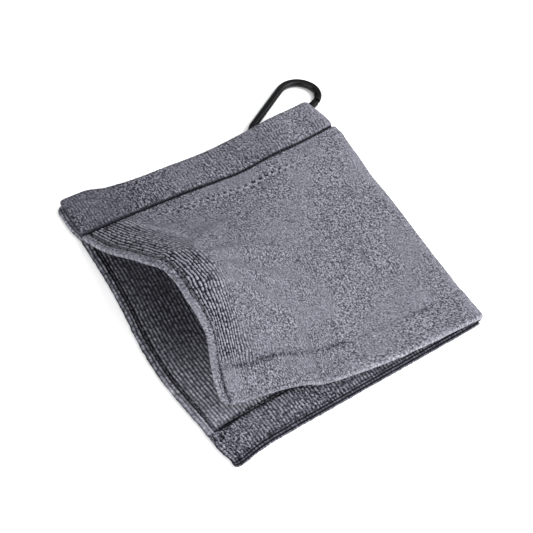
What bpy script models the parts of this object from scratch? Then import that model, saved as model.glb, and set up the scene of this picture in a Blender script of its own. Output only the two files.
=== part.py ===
"""Golf ball towel: a square pile-cloth pocket, open on two sides, with a snap clip on a hang loop.

World frame in metres. X runs along the sewn top edge, Y from the bottom edge to the top edge, Z is up.
The origin is the middle of the pocket, on the face that lies on the table.
The front layer is shown as it drapes over a ball: its free corner is lifted, and it can be lifted more.
"""
import bpy
import bmesh
import math
from mathutils import Vector

MM = 0.001

# Pocket
SIDE = 140 * MM
HALF = SIDE / 2
CLOTH = 2.4 * MM            # one layer of pile cloth
HEM_CLOTH = 3.4 * MM        # cloth turned over once and sewn down
BAND_CLOTH = 3.8 * MM       # the puffy turned-over band along the top
GAP = 0.3 * MM              # clearance between pieces that touch
SEAM_Y = 52.8 * MM          # the seam that closes the top, 17 mm below the edge
SEAM_HALF = 0.5 * MM        # half of the groove that the seam thread lies in
BOTTOM_HEM = 17 * MM
SIDE_HEM = 4.5 * MM
HEM_ROUND = 0.8 * MM        # rounding of the hems' edges
BAND_ROUND = 1.2 * MM
BAND_INSET = 0.5 * MM       # how far the band's front layer stays inside its back layer
FRONT_Z = 4.4 * MM          # middle of the front layer where it lies on the back layer
EDGE_BOW = 4.9 * MM         # how far the back layer's open side bows out
BOW_AT, BOW_REACH = -17 * MM, 33 * MM
TOP_PUFF = 1 * MM           # how far the puffy band stands out past the square at its ends
TOP_DIP = 2.4 * MM          # how far the top edge dips between them
DIP_AT, DIP_REACH = -8 * MM, 30 * MM
FOLD_X = 67.2 * MM          # where the side fold's bend starts
BAND_END = 67.2 * MM        # where the band's folded end stops

# The cloth rides over the clip at the corner of the top edge and the side fold, which draws the band in.
CLIP_LIFT = 4.9 * MM
LIFT_FROM_X, LIFT_FULL_X = 8 * MM, 34 * MM
LIFT_FROM_Y, LIFT_FULL_Y = 16 * MM, 43 * MM
BAND_SAG = 4.4 * MM
SAG_AT, SAG_REACH = 38 * MM, 50 * MM
SAG_FULL_Y = 50 * MM

# The front layer's two free edges, each from its sewn end to the free corner
LEFT_EDGE = (
    (-70, 52.3, 4.4), (-68.3, 37.1, 14), (-64.6, 20.5, 28.5), (-63, 1.6, 41),
    (-62.7, -15.6, 44.5), (-61, -28.4, 37.5), (-62.2, -37.5, 26.5), (-61.5, -51.5, 19),
)
BOTTOM_EDGE = (
    (-61.5, -51.5, 19), (-47, -53.6, 13), (-30.1, -55.8, 9.5), (-15.5, -61.6, 8),
    (-3.6, -64.4, 8.5), (21.2, -67.6, 7.7), (46.7, -69, 6.7), (67, -69.7, 5.8),
)
TENT_REACH = 0.76           # share of the front layer's width that the ball lifts
TENT_ROUND = 1.1            # above 1, the tent is flatter over the ball
CREASE_GAP = 1.0 * MM       # slit along the crease at its ends, where the cloth bends
CREASE_ARCH = 6.5 * MM      # extra width of that slit at its middle
CREASE_START = 0.06         # share of the crease at each end that stays whole

# Snap clip, in its own plane: U runs along its straight spine, V across it towards the gate
ROD = 1.8 * MM              # radius of the clip's rod
CLIP_Z = 2.4 * MM
CLIP_TURN = math.radians(27.1)
CLIP_CORNER = (27.5 * MM, 68.6 * MM)
SMALL_END = (9 * MM, 9 * MM)
SMALL_R = 7.2 * MM
BIG_END = (35.7 * MM, 13.9 * MM)
BIG_R = 12.1 * MM
NOSE = (41.6 * MM, 13.9 * MM)    # centre of the tighter bend that ends in the nose
NOSE_R = 6.2 * MM
NOSE_ANGLE = math.radians(89)
NOTCH_ANGLE = math.radians(63)
PIVOT = (12.5 * MM, 16.3 * MM)
GATE_TIP = (40.4 * MM, 20.2 * MM)
TANG = 1.3 * MM             # thickness of the body's tang inside the gate's fork
TANG_LENGTH = 3.4 * MM
TANG_BACK = 2.9 * MM        # how far behind the pivot the tang starts, clear of the gate's turning end
FORK_SLOT = 1.7 * MM
RIVET_R = 0.8 * MM
RIVET_PLAY = 0.06 * MM
SPRING_R = 0.75 * MM
SPRING_WIRE = 0.16 * MM

# Hang loop: a ribbon caught under the band, folded round the clip's small end
RIBBON = 0.5 * MM
RIBBON_WIDTH = 5.6 * MM
LOOP_HINGE = (49.0 * MM, 4.2 * MM)   # Y and Z of the line that the loop bends on
LOOP_BASE_LENGTH = 5 * MM

THREAD = 0.35 * MM
STITCH_INSET = 1.5 * MM     # from a hem's inner edge to its line of stitches
BACK_STITCHES_END = 24.8 * MM   # X where the back hem's stitches pass out of reach, under the front layer


def smooth(x):
    """0 below 0, 1 above 1, and an S curve between."""
    x = min(max(x, 0.0), 1.0)
    return x * x * (3 - 2 * x)


def mix(a, b, share):
    return a + (b - a) * share


def through(points, share):
    """A point on the smooth curve through points in millimetres, share running from 0 to 1."""
    last = len(points) - 1
    at = min(share * last, last - 1e-9)
    i = int(at)
    t = at - i
    p1, p2 = Vector(points[i]), Vector(points[i + 1])
    p0 = Vector(points[i - 1]) if i > 0 else 2 * p1 - p2
    p3 = Vector(points[i + 2]) if i + 2 <= last else 2 * p2 - p1
    m1, m2 = (p2 - p0) / 2, (p3 - p1) / 2
    cube, square = t ** 3, t ** 2
    point = (2 * cube - 3 * square + 1) * p1 + (cube - 2 * square + t) * m1
    return (point + (3 * square - 2 * cube) * p2 + (cube - square) * m2) * MM


def lift(x, y):
    """How far the clip under the corner holds the cloth up."""
    across = smooth((x - LIFT_FROM_X) / (LIFT_FULL_X - LIFT_FROM_X))
    along = smooth((y - LIFT_FROM_Y) / (LIFT_FULL_Y - LIFT_FROM_Y))
    return CLIP_LIFT * across * along


def hill(x, middle, reach):
    """1 at the middle, falling away smoothly on both sides."""
    return math.exp(-(((x - middle) / reach) ** 2))


def settle(x, y, z):
    """Where a point of the flat pocket comes to lie."""
    sag = BAND_SAG * hill(x, SAG_AT, SAG_REACH) * smooth(y / SAG_FULL_Y)
    return Vector((x, y - sag, z + lift(x, y)))


def back_left(y):
    """X of the back layer's open side, which bows out beside the ball."""
    return -HALF - EDGE_BOW * hill(y, BOW_AT, BOW_REACH)


def top_edge(x):
    """Y of the top edge of the flat pocket, which dips between its ends."""
    return HALF + TOP_PUFF - TOP_DIP * hill(x, DIP_AT, DIP_REACH)


def front_point(s, t):
    """Middle of the front layer: s runs from the open side to the fold, t from the seam to the bottom."""
    top = SEAM_Y - SEAM_HALF
    flat = Vector((mix(-HALF, FOLD_X, s), mix(top, -HALF, t), FRONT_Z))
    to_left = through(LEFT_EDGE, t) - Vector((-HALF, flat.y, FRONT_Z))
    to_bottom = through(BOTTOM_EDGE, s) - Vector((flat.x, -HALF, FRONT_Z))
    to_corner = through(LEFT_EDGE, 1) - Vector((-HALF, -HALF, FRONT_Z))
    side = math.cos(math.pi / 2 * min(s / TENT_REACH, 1) ** TENT_ROUND) ** 2
    low = smooth((t - 0.35) / 0.65)
    point = flat + to_left * side + to_bottom * low - to_corner * side * low
    return settle(*point)


def crease_slit(t):
    """Width of the slit along the crease, as a share of the front layer's width."""
    return (CREASE_GAP + CREASE_ARCH * math.sin(math.pi * t)) / (HALF + FOLD_X)


def material(name, colour, roughness, metallic=0.0):
    made = bpy.data.materials.new(name)
    made.use_nodes = True
    shader = made.node_tree.nodes["Principled BSDF"]
    shader.inputs["Base Color"].default_value = (*colour, 1)
    shader.inputs["Roughness"].default_value = roughness
    shader.inputs["Metallic"].default_value = metallic
    return made


def new_collection(name):
    made = bpy.data.collections.new(name)
    bpy.context.scene.collection.children.link(made)
    return made


def add_object(name, data, finish, collection=None):
    made = bpy.data.objects.new(name, data)
    (collection or towel).objects.link(made)
    if finish is not None:
        made.data.materials.append(finish)
    return made


def sheet(name, cols, rows, place, thickness, finish, round_edge=0.0):
    """A layer of cloth: a grid laid out by place(s, t), thickened and rounded at its edges."""
    grid = bmesh.new()
    bmesh.ops.create_grid(grid, x_segments=cols, y_segments=rows, size=0.5)
    for vertex in grid.verts:
        vertex.co = place(vertex.co.x + 0.5, 0.5 - vertex.co.y)
    mesh = bpy.data.meshes.new(name)
    grid.to_mesh(mesh)
    grid.free()
    made = add_object(name, mesh, finish)
    thicken = made.modifiers.new("thickness", "SOLIDIFY")
    thicken.thickness = thickness
    thicken.offset = 0
    if round_edge:
        soften = made.modifiers.new("rounded edge", "BEVEL")
        soften.width = round_edge
        soften.segments = 2
        soften.limit_method = "ANGLE"
        soften.angle_limit = math.radians(60)
    return made


def tube(name, points, radius, finish, sides=2):
    """A thin thread, rod or wire through the given points, with closed ends."""
    curve = bpy.data.curves.new(name, "CURVE")
    curve.dimensions = "3D"
    curve.bevel_depth = radius
    curve.bevel_resolution = sides
    curve.use_fill_caps = True
    spline = curve.splines.new("POLY")
    spline.points.add(len(points) - 1)
    for point, place in zip(spline.points, points):
        point.co = (*place, 1)
    return add_object(name, curve, finish)


def solid_from_curve(made):
    """The curve object as a closed mesh object, which booleans can cut."""
    evaluated = made.evaluated_get(bpy.context.evaluated_depsgraph_get())
    mesh = bpy.data.meshes.new_from_object(evaluated)
    welded = bmesh.new()
    welded.from_mesh(mesh)
    bmesh.ops.remove_doubles(welded, verts=welded.verts, dist=0.00001)
    bmesh.ops.recalc_face_normals(welded, faces=welded.faces)
    welded.to_mesh(mesh)
    welded.free()
    name, place = made.name, made.matrix_world.copy()
    bpy.data.objects.remove(made)
    solid = add_object(name, mesh, None)
    solid.matrix_world = place
    return solid


def cylinder(name, radius, start, end, finish, sides=16, collection=None):
    """A round bar from one point to another."""
    axis = Vector(end) - Vector(start)
    bar = bmesh.new()
    bmesh.ops.create_cone(
        bar, cap_ends=True, segments=sides, radius1=radius, radius2=radius, depth=axis.length
    )
    mesh = bpy.data.meshes.new(name)
    bar.to_mesh(mesh)
    bar.free()
    mesh.shade_smooth()
    mesh.set_sharp_from_angle(angle=math.radians(40))
    made = add_object(name, mesh, finish, collection)
    made.location = (Vector(start) + Vector(end)) / 2
    made.rotation_euler = axis.to_track_quat("Z", "Y").to_euler()
    return made


def cutting_box(name, size, place, turn):
    box = bmesh.new()
    bmesh.ops.create_cube(box, size=1)
    bmesh.ops.scale(box, vec=size, verts=box.verts)
    mesh = bpy.data.meshes.new(name)
    box.to_mesh(mesh)
    box.free()
    made = add_object(name, mesh, None, cutters)
    made.location = place
    made.rotation_euler = (0, 0, turn)
    return hide_cutter(made)


def hide_cutter(made):
    made.hide_render = True
    made.display_type = "WIRE"
    return made


def cut(made, cutter):
    boolean = made.modifiers.new(cutter.name, "BOOLEAN")
    boolean.operation = "DIFFERENCE"
    boolean.object = cutter
    boolean.solver = "EXACT"


def clip_point(u, v, z=CLIP_Z):
    """A point of the clip's own plane, in the world."""
    cos, sin = math.cos(CLIP_TURN), math.sin(CLIP_TURN)
    return Vector((CLIP_CORNER[0] + u * cos + v * sin, CLIP_CORNER[1] + u * sin - v * cos, z))


def arc(centre, radius, start, end, steps):
    """Points of an arc in the clip's plane, angles counted from U towards V."""
    return [
        (centre[0] + radius * math.cos(mix(start, end, i / steps)),
         centre[1] + radius * math.sin(mix(start, end, i / steps)))
        for i in range(steps + 1)
    ]


# Back layer and what is sewn to it

def back_place(x_from, x_to, y_from, y_to, thickness):
    """Lays a grid on the table, between two Y values and two functions of Y for X."""
    def place(s, t):
        y = mix(y_from, y_to, t)
        x = mix(x_from(y), x_to(y), s)
        return settle(x, y, thickness / 2)
    return place


def build_back():
    panel_top, hem_top = SEAM_Y - SEAM_HALF, -HALF + BOTTOM_HEM

    def hem_inner(y):
        return back_left(y) + SIDE_HEM

    def panel_left(y):
        return hem_inner(y) + GAP

    def beside_fold(y):
        return FOLD_X - 2 * GAP
    sheet("back_panel", 20, 16, back_place(
        panel_left, beside_fold, panel_top, hem_top + GAP, CLOTH
    ), CLOTH, pile)
    sheet("back_side_hem", 2, 16, back_place(
        back_left, hem_inner, panel_top, hem_top + GAP, HEM_CLOTH
    ), HEM_CLOTH, pile, round_edge=HEM_ROUND)
    sheet("back_bottom_hem", 12, 2, back_place(
        back_left, beside_fold, hem_top, -HALF, HEM_CLOTH
    ), HEM_CLOTH, pile, round_edge=HEM_ROUND)

    def band(s, t):
        x = mix(-HALF + 2 * BAND_INSET, BAND_END, s)
        y = mix(top_edge(x), SEAM_Y + SEAM_HALF, t)
        return settle(x, y, HEM_CLOTH / 2)
    sheet("top_band_back", 14, 3, band, HEM_CLOTH, pile, round_edge=HEM_ROUND)


def build_side_fold():
    """The bend of cloth that joins the two layers along the closed side."""
    low, high = CLOTH / 2, FRONT_Z
    radius = (high - low) / 2

    def place(s, t):
        y = mix(SEAM_Y - SEAM_HALF, -HALF, t)
        turn = mix(-math.pi / 2, math.pi / 2, s)
        x = FOLD_X + radius * math.cos(turn)
        z = (high + low) / 2 + radius * math.sin(turn)
        return settle(x, y, z)
    sheet("side_fold", 6, 14, place, CLOTH, pile)


# Front layer: the part that stays, and the flap that lifts

def build_front():
    share_of_hem = 1 - BOTTOM_HEM / (SEAM_Y - SEAM_HALF + HALF)
    share_of_side = SIDE_HEM / (HALF + FOLD_X)
    small = 3 * GAP / SIDE

    def fixed(s, t):
        down = mix(0, 1 - CREASE_START, t)
        return front_point(mix(down, 1 - small, s), down)
    sheet("front_panel", 14, 14, fixed, CLOTH, pile)

    def flap(s, t):
        down = mix(share_of_side + CREASE_START, share_of_hem - small, t)
        return front_point(mix(share_of_side + small, down - crease_slit(down), s), down)
    sheet("front_flap", 12, 14, flap, CLOTH, pile)

    def side(s, t):
        down = mix(CREASE_START, share_of_hem - small, t)
        return front_point(mix(0, share_of_side, s), down)
    sheet("front_side_hem", 2, 16, side, HEM_CLOTH, pile, round_edge=HEM_ROUND)

    def hem(s, t):
        down = mix(share_of_hem, 1, t)
        return front_point(mix(0, down - crease_slit(down), s), down)
    sheet("front_bottom_hem", 12, 3, hem, HEM_CLOTH, pile, round_edge=HEM_ROUND)


def build_top_band():
    """The turned-over band of the front layer, above the seam."""
    level = HEM_CLOTH + GAP + BAND_CLOTH / 2

    def place(s, t):
        x = mix(-HALF + BAND_INSET, BAND_END, s)
        y = mix(top_edge(x) + BAND_INSET, SEAM_Y + SEAM_HALF, t)
        return settle(x, y, level)
    sheet("top_band_front", 14, 3, place, BAND_CLOTH, pile, round_edge=BAND_ROUND)


# Threads

def thread_line(name, route, steps):
    points = [route(i / steps) for i in range(steps + 1)]
    tube(name, points, THREAD, thread, sides=1)


def build_threads():
    seam_from, seam_to = -HALF + 1 * MM, BAND_END - 0.5 * MM
    share_of_hem = 1 - BOTTOM_HEM / (SEAM_Y - SEAM_HALF + HALF)
    share_of_side = SIDE_HEM / (HALF + FOLD_X)
    above_hem = HEM_CLOTH / 2 + THREAD + GAP

    def seam_at(z):
        def route(share):
            x = mix(seam_from, seam_to, share)
            return settle(x, SEAM_Y, z)
        return route
    thread_line("top_seam_thread", seam_at(FRONT_Z), 24)
    thread_line("top_seam_under_thread", seam_at(THREAD + GAP), 24)

    def back_hem(share):
        x = mix(-HALF + SIDE_HEM, BACK_STITCHES_END, share)
        return Vector((x, -HALF + BOTTOM_HEM - STITCH_INSET, HEM_CLOTH + THREAD + GAP / 2))

    def back_side(share):
        y = mix(SEAM_Y - 3 * MM, -HALF + BOTTOM_HEM + 1 * MM, share)
        return Vector((back_left(y) + SIDE_HEM - STITCH_INSET, y, HEM_CLOTH + THREAD + GAP / 2))
    thread_line("back_side_thread", back_side, 16)
    thread_line("back_hem_thread", back_hem, 10)

    inset = STITCH_INSET / SIDE
    margin = 0.02

    def front_hem(share):
        down = share_of_hem + inset
        return raised(mix(margin, down - crease_slit(down) - margin, share), down)

    def front_side(share):
        down = mix(CREASE_START + margin, share_of_hem - margin, share)
        return raised(share_of_side - inset, down)

    def raised(s, t):
        """A point just above the front layer's hem."""
        step = 0.01
        along = front_point(s + step, t) - front_point(s, t)
        down = front_point(s, t + step) - front_point(s, t)
        return front_point(s, t) + down.cross(along).normalized() * above_hem
    thread_line("front_hem_thread", front_hem, 22)
    thread_line("front_side_thread", front_side, 22)


# Hang loop

def ribbon(name, profile):
    """A strip of ribbon whose middle follows a profile of (Y, Z) points."""
    x = loop_x()
    rows = len(profile) - 1

    def place(s, t):
        y, z = profile[min(round(t * rows), rows)]
        return Vector((x + mix(-0.5, 0.5, s) * RIBBON_WIDTH, y, z))
    return sheet(name, 1, rows, place, RIBBON, webbing)


def loop_x():
    return clip_point(*SMALL_END).x


def build_loop():
    hinge_y, hinge_z = LOOP_HINGE
    apart = RIBBON / 2 + 0.06 * MM
    rod_y = clip_point(*SMALL_END).y - SMALL_R
    bend_y = rod_y + ROD + 0.6 * MM
    above = hinge_z + apart
    below = RIBBON / 2 + 0.05 * MM
    radius = (above - below) / 2
    steps = 8
    bend = [
        (bend_y - 0.4 * MM + radius * 0.8 * math.sin(math.pi * i / steps),
         above - radius + radius * math.cos(math.pi * i / steps))
        for i in range(steps + 1)
    ]
    start = hinge_y + 0.35 * MM
    ends_low = [(rod_y - ROD + 0.2 * MM, below), (hinge_y + 1.4 * MM, hinge_z - 2.4 * MM),
                (start, hinge_z - apart)]
    ribbon("hang_loop", [(start, above)] + bend + ends_low)
    base_from, base_to = hinge_y - LOOP_BASE_LENGTH, hinge_y - 0.8 * MM

    def base(s, t):
        x = loop_x() + mix(-0.5, 0.5, s) * RIBBON_WIDTH
        return Vector((x, mix(base_from, base_to, t), hinge_z))
    sheet("loop_base", 1, 2, base, 2 * RIBBON + 0.1 * MM, webbing)

    def tack(s, t):
        x = loop_x() + mix(-0.42, 0.42, s) * RIBBON_WIDTH
        y = base_to - mix(1.0, 2.4, t) * MM
        return Vector((x, y, hinge_z - RIBBON - 0.4 * MM))
    sheet("loop_bar_tack", 1, 1, tack, 0.4 * MM, thread)


# Snap clip

def gate_direction():
    return (clip_point(*GATE_TIP) - clip_point(*PIVOT)).normalized()


def build_clip_body():
    half_turn = math.pi
    outline = arc(NOSE, NOSE_R, NOSE_ANGLE, 0, 7)
    outline += arc(BIG_END, BIG_R, 0, -half_turn / 2, 10)[1:]
    spine_v = BIG_END[1] - BIG_R
    small_v = SMALL_END[1] - SMALL_R
    outline.append((mix(BIG_END[0], SMALL_END[0], 0.5), mix(spine_v, small_v, 0.5)))
    outline += arc(SMALL_END, SMALL_R, -half_turn / 2, -1.5 * half_turn, 14)
    outline.append((PIVOT[0] + TANG_LENGTH / 3, PIVOT[1] + 0.1 * MM))
    body = tube("clip_body", [clip_point(u, v) for u, v in outline], ROD, None)
    body = solid_from_curve(body)
    body.data.materials.append(black_metal)
    body.data.shade_smooth()
    body.data.set_sharp_from_angle(angle=math.radians(40))

    along = gate_direction()
    turn = math.atan2(along.y, along.x)
    pivot = clip_point(*PIVOT)
    for side in (-1, 1):
        trim = cutting_box(
            f"tang_cutter_{'low' if side < 0 else 'high'}",
            (TANG_LENGTH + TANG_BACK, 3 * ROD, 2 * ROD),
            pivot + along * ((TANG_LENGTH - TANG_BACK) / 2)
            + Vector((0, 0, side * (ROD + TANG / 2))),
            turn,
        )
        cut(body, trim)
    hole = cylinder("tang_hole_cutter", RIVET_R + RIVET_PLAY, pivot - Vector((0, 0, 4 * ROD)),
                    pivot + Vector((0, 0, 4 * ROD)), None, collection=cutters)
    cut(body, hide_cutter(hole))
    notch = clip_point(NOSE[0] + (NOSE_R - ROD) * math.cos(NOTCH_ANGLE),
                       NOSE[1] + (NOSE_R - ROD) * math.sin(NOTCH_ANGLE))
    cut(body, cutting_box("nose_notch_cutter", (1.2 * MM, 1.2 * MM, 4 * ROD), notch,
                          CLIP_TURN - NOTCH_ANGLE))


def build_gate():
    along = gate_direction()
    turn = math.atan2(along.y, along.x)
    pivot, tip = clip_point(*PIVOT), clip_point(*GATE_TIP)
    back_end = pivot - along * (RIVET_R + 0.9 * MM)
    gate = cylinder("clip_gate", ROD, back_end, tip, black_metal)
    slot_end = pivot + along * (TANG_LENGTH - 0.4 * MM)
    slot_start = pivot - along * 3 * MM
    slot = cutting_box("fork_cutter", ((slot_end - slot_start).length, 3 * ROD, FORK_SLOT),
                       (slot_start + slot_end) / 2, turn)
    cut(gate, slot)
    up = Vector((0, 0, 4 * ROD))
    hole = cylinder("fork_hole_cutter", RIVET_R + RIVET_PLAY, pivot - up, pivot + up, None,
                    collection=cutters)
    cut(gate, hide_cutter(hole))
    bore_end = slot_end + along * 8 * MM
    bore = cylinder("spring_bore_cutter", SPRING_R + 0.15 * MM, slot_end - along * 0.5 * MM,
                    bore_end, None, sides=12, collection=cutters)
    cut(gate, hide_cutter(bore))
    reach = Vector((0, 0, ROD))
    cylinder("gate_rivet", RIVET_R, pivot - reach, pivot + reach, steel)

    plunger_end = slot_end + along * 1.6 * MM
    plunger_start = pivot + along * (TANG_LENGTH * 0.5 + 0.9 * MM)
    cylinder("spring_plunger", SPRING_R * 0.8, plunger_start, plunger_end, steel, sides=10)
    build_spring(plunger_end + along * (SPRING_WIRE + GAP), bore_end - along * (SPRING_WIRE + GAP))


def build_spring(start, end):
    turns, steps = 6, 9
    along = (end - start).normalized()
    side = along.cross(Vector((0, 0, 1)))
    points = []
    for i in range(turns * steps + 1):
        angle = 2 * math.pi * i / steps
        centre = start.lerp(end, i / (turns * steps))
        radius = SPRING_R - SPRING_WIRE
        points.append(centre + (side * math.cos(angle) + Vector((0, 0, math.sin(angle)))) * radius)
    tube("gate_spring", points, SPRING_WIRE, steel, sides=1)


for old in list(bpy.data.objects):
    bpy.data.objects.remove(old)
towel = new_collection("golf_ball_towel")
cutters = new_collection("cutters")
pile = material("pile_cloth", (0.20, 0.20, 0.235), 0.95)
thread = material("sewing_thread", (0.05, 0.05, 0.06), 0.8)
webbing = material("ribbon", (0.02, 0.02, 0.02), 0.8)
black_metal = material("black_aluminium", (0.015, 0.015, 0.016), 0.35, 0.6)
steel = material("spring_steel", (0.5, 0.5, 0.52), 0.3, 1.0)
build_back()
build_side_fold()
build_front()
build_top_band()
build_threads()
build_loop()
build_clip_body()
build_gate()
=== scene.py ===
"""Looks of the golf ball towel: a grey pile-cloth pocket with a black snap clip under its corner.

Lengths in this script are in millimetres until a mesh is made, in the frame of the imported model:
X runs along the sewn top edge, Y from the bottom edge to the top edge, Z is up.
"""

import math

import bmesh
import bpy
import numpy as np
from mathutils import Matrix, Vector


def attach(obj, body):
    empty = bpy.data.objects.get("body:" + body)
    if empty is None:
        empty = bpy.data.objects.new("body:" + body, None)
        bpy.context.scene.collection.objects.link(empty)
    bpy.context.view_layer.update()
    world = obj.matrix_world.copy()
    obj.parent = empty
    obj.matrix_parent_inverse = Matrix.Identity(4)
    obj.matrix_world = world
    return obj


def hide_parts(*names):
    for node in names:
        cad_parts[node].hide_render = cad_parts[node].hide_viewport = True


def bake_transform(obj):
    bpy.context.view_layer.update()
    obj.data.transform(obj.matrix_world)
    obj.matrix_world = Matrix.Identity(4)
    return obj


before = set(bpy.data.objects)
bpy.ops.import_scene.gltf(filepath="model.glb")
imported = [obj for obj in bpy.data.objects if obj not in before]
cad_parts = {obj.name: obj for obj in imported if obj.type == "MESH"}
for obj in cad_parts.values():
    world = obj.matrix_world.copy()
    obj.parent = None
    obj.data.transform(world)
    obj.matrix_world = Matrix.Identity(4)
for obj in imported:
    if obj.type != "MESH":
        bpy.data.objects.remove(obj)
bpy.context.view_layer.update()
MM = 0.001

# ---- sizes shared with the CAD
HALF = 70.0  # half the side of the square pocket
CLOTH = 2.4  # thickness of one layer
HEM = 3.4  # thickness of a hem, and of the band's back layer
BAND = 3.8  # thickness of the band's front layer
GAP = 0.3  # between the band's two layers
SEAM_Y = 52.8  # the top seam
PANEL_TOP = 52.3  # where the front and back layers end at that seam
BOTTOM_HEM = 17.0  # width of the hems along the bottom
SIDE_HEM = 4.5  # width of the hems along the open side
FRONT_Z = 4.4  # the front layer's middle where the pocket lies flat
EDGE_BOW = 4.9  # how far the back layer bows out beside the mouth
TOP_PUFF, TOP_DIP = 1.0, 2.4  # the top edge's rise over the square, and its widest dip
FOLD_X = 67.2  # where the front layer starts to turn round the side fold
BAND_END = 67.2  # where the band ends at the side fold
CLIP_LIFT = 4.9  # how far the clip holds up the corner above it
LIFT_X, LIFT_Y = (8.0, 34.0), (16.0, 43.0)  # where that lift starts and where it is complete
BAND_SAG = 4.4  # how far the band is drawn in beside the clip
# The free edges of the front layer: down its open side, then along its bottom from that corner.
LEFT_EDGE = np.array((
    (-70, 52.3, 4.4), (-68.3, 37.1, 14), (-64.6, 20.5, 28.5), (-63, 1.6, 41),
    (-62.7, -15.6, 44.5), (-61, -28.4, 37.5), (-62.2, -37.5, 26.5), (-61.5, -51.5, 19),
))
BOTTOM_EDGE = np.array((
    (-61.5, -51.5, 19), (-47, -53.6, 13), (-30.1, -55.8, 9.5), (-15.5, -61.6, 8),
    (-3.6, -64.4, 8.5), (21.2, -67.6, 7.7), (46.7, -69, 6.7), (67, -69.7, 5.8),
))
TENT_REACH = 0.76  # share of the front layer's width that the open mouth lifts
TENT_ROUND = 1.1  # 1 is a plain cosine slope, more is a rounder top


def smooth(x):
    """0 below 0, 1 above 1, and an S curve between."""
    x = np.clip(x, 0, 1)
    return x * x * (3 - 2 * x)


def mix(a, b, share):
    return a + (b - a) * share


def through(knots, share):
    """Points on the smooth curve through the knots, for an array of shares from 0 to 1."""
    share = np.asarray(share, float)
    last = len(knots) - 1
    at = np.clip(share, 0, 1) * last
    i = np.minimum(at.astype(int), last - 1)
    t = (at - i)[..., None]
    padded = np.vstack((2 * knots[0] - knots[1], knots, 2 * knots[-1] - knots[-2]))
    p0, p1, p2, p3 = (padded[i + k] for k in range(4))
    m1, m2 = (p2 - p0) / 2, (p3 - p1) / 2
    point = (2 * t ** 3 - 3 * t ** 2 + 1) * p1 + (t ** 3 - 2 * t ** 2 + t) * m1
    return point + (3 * t ** 2 - 2 * t ** 3) * p2 + (t ** 3 - t ** 2) * m2


def points(x, y, z):
    """Points from their coordinates, each an array or one number for all."""
    return np.stack(np.broadcast_arrays(x, y, z), -1)


def lift(x, y):
    """How far the clip under the corner holds the cloth up."""
    across = smooth((x - LIFT_X[0]) / (LIFT_X[1] - LIFT_X[0]))
    return CLIP_LIFT * across * smooth((y - LIFT_Y[0]) / (LIFT_Y[1] - LIFT_Y[0]))


def hill(x, middle, reach):
    """1 at the middle, falling away smoothly on both sides."""
    return np.exp(-(((x - middle) / reach) ** 2))


def settle(x, y, z):
    """Where points of the flat pocket come to lie: over the clip, with the band drawn in."""
    sag = BAND_SAG * hill(x, 38, 50) * smooth(y / 50)
    return points(x, y - sag, z + lift(x, y))


def back_left(y):
    """X of the back layer's open side, which bows out beside the pocket's mouth."""
    return -HALF - EDGE_BOW * hill(y, -17, 33)


def top_edge(x):
    """Y of the top edge of the flat pocket, which dips between its ends and flares at the open one."""
    dip = TOP_DIP * hill(x, -8, 30) + 1.4 * hill(x, -34, 15)
    dip = dip + 0.9 * hill(x, 57, 13) + 1.1 * hill(x, 29, 11)
    return HALF + TOP_PUFF - dip + 2.1 * smooth((-46 - x) / 12)


def bottom_drop(x):
    """How far the back layer's bottom edge hangs past the square, most at its free corner."""
    return 0.8 + 2.2 * hill(x, -68, 12)


def fold_out(y):
    """How far the side fold stands out past its straight line."""
    return 1.6 * hill(y, 3, 20) - 0.9 * smooth((y - 26) / 14)


def front_point(s, t):
    """Middle of the front layer: s runs from the open side to the fold, t from the seam down."""
    s, t = np.broadcast_arrays(np.asarray(s, float), np.asarray(t, float))
    flat = points(mix(-HALF, FOLD_X, s), mix(PANEL_TOP, -HALF, t), FRONT_Z)
    left, bottom = through(LEFT_EDGE, t), through(BOTTOM_EDGE, s)
    to_left = left - points(-HALF, flat[..., 1], FRONT_Z)
    to_bottom = bottom - points(flat[..., 0], -HALF, FRONT_Z)
    to_corner = LEFT_EDGE[-1] - np.array((-HALF, -HALF, FRONT_Z))
    side = np.cos(math.pi / 2 * np.clip(s / TENT_REACH, 0, 1) ** TENT_ROUND)[..., None] ** 2
    low = smooth((t - 0.35) / 0.65)[..., None]
    point = flat + to_left * side + to_bottom * low - to_corner * side * low
    return settle(point[..., 0], point[..., 1], point[..., 2])


# ---- random fields

FIELD = 128  # cells along each side of a random table


def noise(x, y, size, seed):
    """A smooth random field between -1 and 1, with patches about size across."""
    table = np.random.default_rng(seed).uniform(-1, 1, (FIELD, FIELD))
    u, v = x / size + 500, y / size + 500
    i, j = np.floor(u).astype(int), np.floor(v).astype(int)
    fu, fv = smooth(u - i), smooth(v - j)

    def corner(a, b):
        return table[(i + a) % FIELD, (j + b) % FIELD]
    low = mix(corner(0, 0), corner(1, 0), fu)
    return mix(low, mix(corner(0, 1), corner(1, 1), fu), fv)


RIB = 1.6  # distance between the knitted rows that the tufts stand in
LOOSE = 0.80  # distance between the tufts where the nap hides the rows


def lattice(x, y, cell, wander, size, vary, seed):
    """Domes from 0 to 1 in a grid of cells, each moved at random by wander and varied in height."""
    tables = np.random.default_rng(seed).uniform(-1, 1, (3, FIELD, FIELD))
    i0, j0 = np.floor(x / cell[0]).astype(int), np.floor(y / cell[1]).astype(int)
    height = np.zeros(np.broadcast(x, y).shape)
    for di in (-1, 0, 1):
        for dj in (-1, 0, 1):
            i, j = i0 + di, j0 + dj
            random = tables[:, i % FIELD, j % FIELD]
            across = (x / cell[0] - i - 0.5 - wander[0] * random[0]) / size[0]
            along = (y / cell[1] - j - 0.5 - wander[1] * random[1]) / size[1]
            dome = np.clip(1 - across ** 2 - along ** 2, 0, 1)
            height = np.maximum(height, dome * (1 - vary + vary * random[2]))
    return height


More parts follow.
